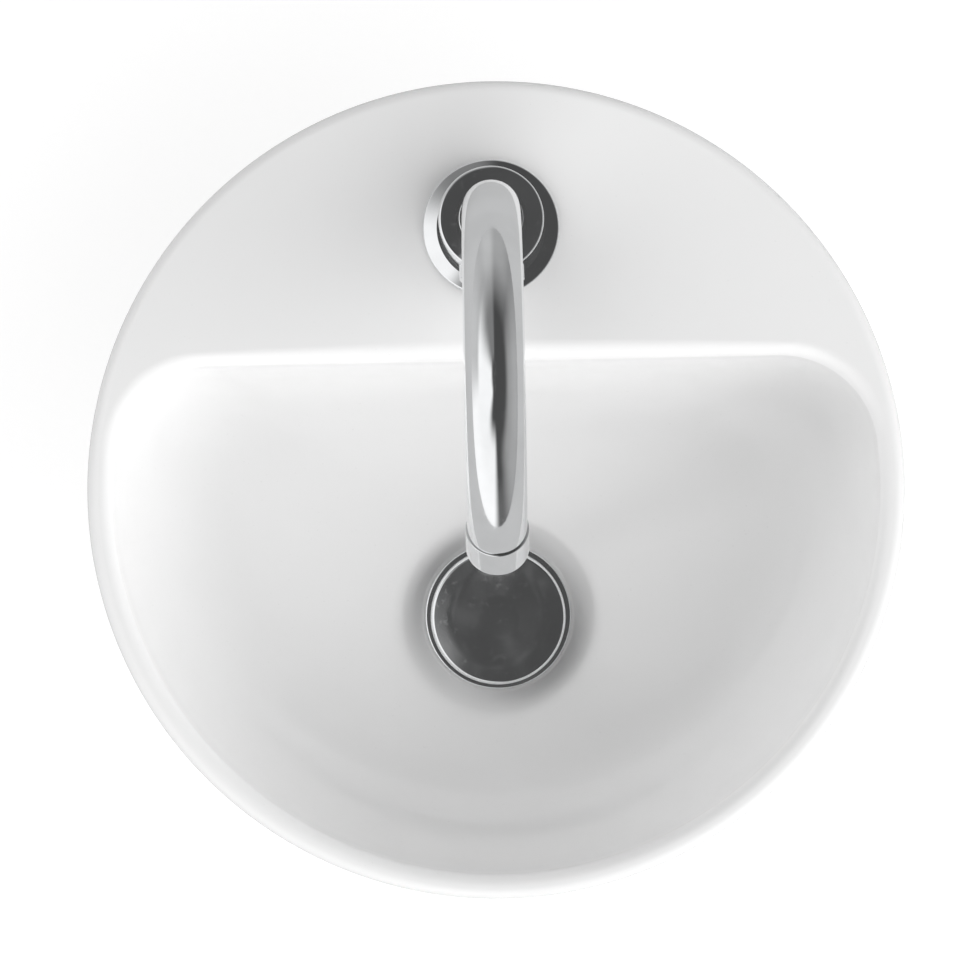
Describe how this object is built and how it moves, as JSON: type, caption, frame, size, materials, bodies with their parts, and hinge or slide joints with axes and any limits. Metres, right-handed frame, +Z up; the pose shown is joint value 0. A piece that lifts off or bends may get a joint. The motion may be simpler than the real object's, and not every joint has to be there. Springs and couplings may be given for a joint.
{
  "type": "countertop washbasin with mixer tap",
  "caption": "Round countertop washbasin with a D-shaped bowl and a rear ledge, fitted with a swivel-spout mixer tap worked by a pin lever and a push-to-close waste.",
  "frame": {"origin": "centre of the foot ring, on the surface that the basin stands on", "axes": "+Z up, +Y to the back where the tap ledge is, +X to the user's right"},
  "size_m": [0.38, 0.3798, 0.3462],
  "materials": {
    "glazed_white": "white gloss glaze, unglazed on the foot",
    "chrome": "polished",
    "brass": "machined",
    "steel": "bright zinc and stainless steel",
    "black_rubber": "matte",
    "white_plastic": "moulded, satin",
    "disc_ceramic": "lapped"
  },
  "bodies": {
    "base": {"basin": "glazed_white", "waste_body": "chrome", "waste_flange_gasket": "black_rubber", "waste_outlet_washer": "black_rubber", "waste_slip_washer": "white_plastic", "waste_backnut": "brass", "click_housing": "white_plastic", "click_spring": "steel", "tap_gasket": "black_rubber", "tap_base_flange": "chrome", "tap_body": "chrome", "fixing_stud": "steel", "rubber_horseshoe": "black_rubber", "metal_horseshoe": "steel", "fixing_nut": "brass", "cartridge_base": "white_plastic", "cartridge_seals": "black_rubber", "cartridge_housing": "white_plastic", "fixed_disc": "disc_ceramic", "cartridge_nut": "brass", "bonnet_ring": "chrome", "spout_collar": "chrome"},
    "waste_plug": {"click_plunger": "white_plastic", "waste_cap": "chrome", "waste_cap_seal": "black_rubber"},
    "spout": {"spout_shank": "brass", "spout_seal_rings": "black_rubber", "spout_slip_ring": "white_plastic", "spout_tube": "chrome", "tip_sleeve": "brass", "aerator_washer": "black_rubber", "aerator_insert": "white_plastic", "aerator_housing": "chrome"},
    "cartridge_turn": {"cartridge_rotor": "white_plastic", "pivot_pin": "steel"},
    "mixing_disc": {"moving_disc": "disc_ceramic", "disc_carrier": "white_plastic"},
    "lever": {"lever_stem": "brass", "lever_hub": "chrome", "grub_screw": "steel", "pin_lever": "chrome"}
  },
  "joints": [
    {"name": "spout_swivel", "type": "hinge", "parent": "base", "child": "spout", "pos_m": [0, 0.121, 0.25], "axis": [0, 0, 1], "range_deg": [-60, 60]},
    {"name": "temperature_turn", "type": "hinge", "parent": "base", "child": "cartridge_turn", "pos_m": [0, 0.1, 0.181], "axis": [0, 1, 0], "range_deg": [-45, 45]},
    {"name": "flow_lift", "type": "hinge", "parent": "cartridge_turn", "child": "lever", "pos_m": [0, 0.1115, 0.181], "axis": [-1, 0, 0], "range_deg": [0, 25]},
    {"name": "disc_shift", "type": "slide", "parent": "cartridge_turn", "child": "mixing_disc", "axis": [0, 0, -1], "range_m": [0, 0.00216]},
    {"name": "cap_push", "type": "slide", "parent": "base", "child": "waste_plug", "axis": [0, 0, -1], "range_m": [0, 0.008], "deforming": ["click_spring"]}
  ],
  "couplings": [
    {"joint": "disc_shift", "follows": "flow_lift", "m_per_rad": 0.004945}
  ]
}
